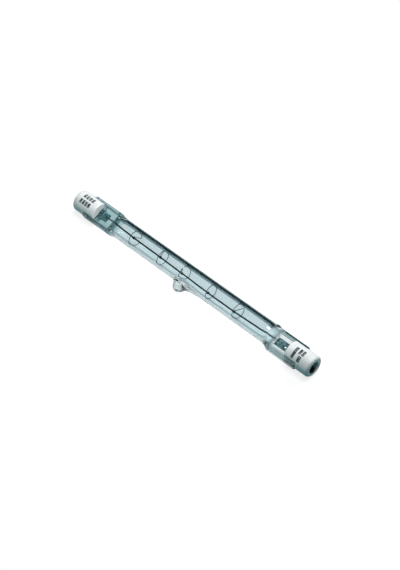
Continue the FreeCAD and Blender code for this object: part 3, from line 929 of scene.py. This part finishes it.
table = flat_sheet("white_sheet", SHEET_SIDE, SHEET_SIDE)
table.location.z = SHEET_UNDER
material, surface, place = new_finish("matt_white_paper")
along, beside, _ = split(place)
rays = place.node("ShaderNodeLightPath", {}, {})
through_glass = rays.other("Is Glossy Ray") + rays.other("Is Transmission Ray")
seen = rays.other("Is Camera Ray") + through_glass
far = step((along ** 2 + beside ** 2) ** 0.5, *FAR_EDGE)
shaded = between(beside, SHADE_FRONT, SHADE_BACK) * through_glass
dress(surface, {
    "Base Color": mixed(seen, SHEET_BOUNCE, SHEET_WHITE),
    "Roughness": 0.9,
    "Specular IOR Level": 0.0,
    "Emission Color": mixed(seen, BLACK, mixed(shaded, mixed(far, LIFT_NEAR, LIFT_FAR), SHADE_GREY)),
    "Emission Strength": SHEET_LIFT,
})
table.data.materials.append(material)


# The cards. Two long dark cards stand close behind and in front of the lamp, hidden from the
# picture: only the glass and the metal show them, which gives the clear quartz its dark edges.
CARD_AWAY = 7.4 * MM
CARD_HIGH = 12 * MM
CARD_LONG = 150 * MM
CARD_FOOT = (0.26, 0.37, 0.39)
CARD_DARK = (0.000, 0.015, 0.017)
CARD_FADE = (2.0 * MM, 3.7 * MM)
for name, sign, top in (("card_behind", 1, CARD_DARK), ("card_in_front", -1, CARD_FOOT)):
    material, surface, place = new_finish(name)
    _, _, height = split(place)
    dress(surface, {
        "Base Color": colour(BLACK),
        "Roughness": 1.0,
        "Specular IOR Level": 0.0,
        "Emission Color": mixed(step(height, *CARD_FADE), CARD_FOOT, top),
        "Emission Strength": 1.0,
    })
    card = flat_sheet(name, CARD_LONG, CARD_HIGH)
    upright = Matrix.Translation((0, 0, CARD_HIGH / 2)) @ Matrix.Rotation(math.pi / 2, 4, "X")
    card.data.transform(upright)
    card.location = (0, tube_axis.y + sign * CARD_AWAY, 0)
    card.data.materials.append(material)
    card.visible_camera = False
    card.visible_diffuse = False
    card.visible_shadow = False


# The light. A room, plain white in the picture, lights the lamp softly from above and is dark low
# down. A window above, a broad lamp behind and a small one close in front, for the left cap's inner
# face, light it as well.
ROOM_WHITE = (1, 1, 1)
ROOM_LIGHT = (0.93, 0.97, 1.0)
ROOM_DARK = (0.002, 0.050, 0.055)
ROOM_STRENGTH = 0.13
ROOM_OPEN = 0.2
ROOM_EDGE = (0.30, 0.55)
world = bpy.data.worlds.new("white_room")
world.use_nodes = True
bpy.context.scene.world = world
tree = world.node_tree
seen = Shade(tree.nodes.new("ShaderNodeLightPath").outputs["Is Camera Ray"])
direction = seen.node("ShaderNodeTexCoord", {}, {}, output="Generated")
endways, _, height = split(direction)
lit = step(height + endways * ROOM_OPEN, *ROOM_EDGE)
room = mixed(lit, ROOM_DARK, [part * ROOM_STRENGTH for part in ROOM_LIGHT])
set_input(tree, tree.nodes["Background"].inputs["Color"], mixed(seen, room, ROOM_WHITE))
set_input(tree, tree.nodes["Background"].inputs["Strength"], 1.0)


def soft_light(name, where, target, size, power):
    """A rectangular lamp that faces its target and doesn't show in the picture."""
    lamp = bpy.data.lights.new(name, "AREA")
    lamp.shape = "RECTANGLE"
    lamp.size, lamp.size_y = size
    lamp.energy = power
    holder = bpy.data.objects.new(name, lamp)
    holder.location = where
    holder.visible_camera = False
    holder.rotation_mode = "QUATERNION"
    holder.rotation_quaternion = (Vector(target) - Vector(where)).to_track_quat("-Z", "Y")
    bpy.context.scene.collection.objects.link(holder)
    return holder


soft_light("window", where=(0.04, 0.07, 0.80), target=(0, 0, 0), size=(0.28, 0.24), power=3.2)
back = soft_light(
    "back_light", where=(0.05, 0.62, 0.55), target=(0, 0, 0), size=(0.45, 0.35), power=3.7
)
back.visible_glossy = False
fill = soft_light(
    "face_fill", where=(0.02, -0.03, 0.06), target=(-0.05, 0, 0.004), size=(0.02, 0.02), power=0.034
)
fill.visible_glossy = False
fill.visible_transmission = False


# The camera. It looks down on the lamp from in front of it and to the right, through a lens long
# enough that the far end hardly looks smaller than the near one.
PICTURE_WIDTH = 400
FOCAL_PIXELS = 1669.4
SENSOR_WIDTH = 36.0
CAMERA_AZIMUTH = math.radians(43.93)
CAMERA_HEIGHT = math.radians(47.39)
CAMERA_DISTANCE = 600 * MM
AIM_RIGHT = 2.65 * MM
AIM_UP = -2.15 * MM
away = Vector((
    math.sin(CAMERA_AZIMUTH) * math.cos(CAMERA_HEIGHT),
    -math.cos(CAMERA_AZIMUTH) * math.cos(CAMERA_HEIGHT),
    math.sin(CAMERA_HEIGHT),
))
to_right = Vector((math.cos(CAMERA_AZIMUTH), math.sin(CAMERA_AZIMUTH), 0))
upwards = away.cross(to_right)
lens = bpy.data.cameras.new("lens")
lens.sensor_fit = "HORIZONTAL"
lens.sensor_width = SENSOR_WIDTH
lens.lens = SENSOR_WIDTH * FOCAL_PIXELS / PICTURE_WIDTH
camera = bpy.data.objects.new("camera", lens)
camera.location = tube_axis + to_right * AIM_RIGHT + upwards * AIM_UP + away * CAMERA_DISTANCE
camera.rotation_mode = "QUATERNION"
camera.rotation_quaternion = (-away).to_track_quat("-Z", "Y")
bpy.context.scene.collection.objects.link(camera)
bpy.context.scene.camera = camera
bpy.context.scene.view_settings.view_transform = "Standard"
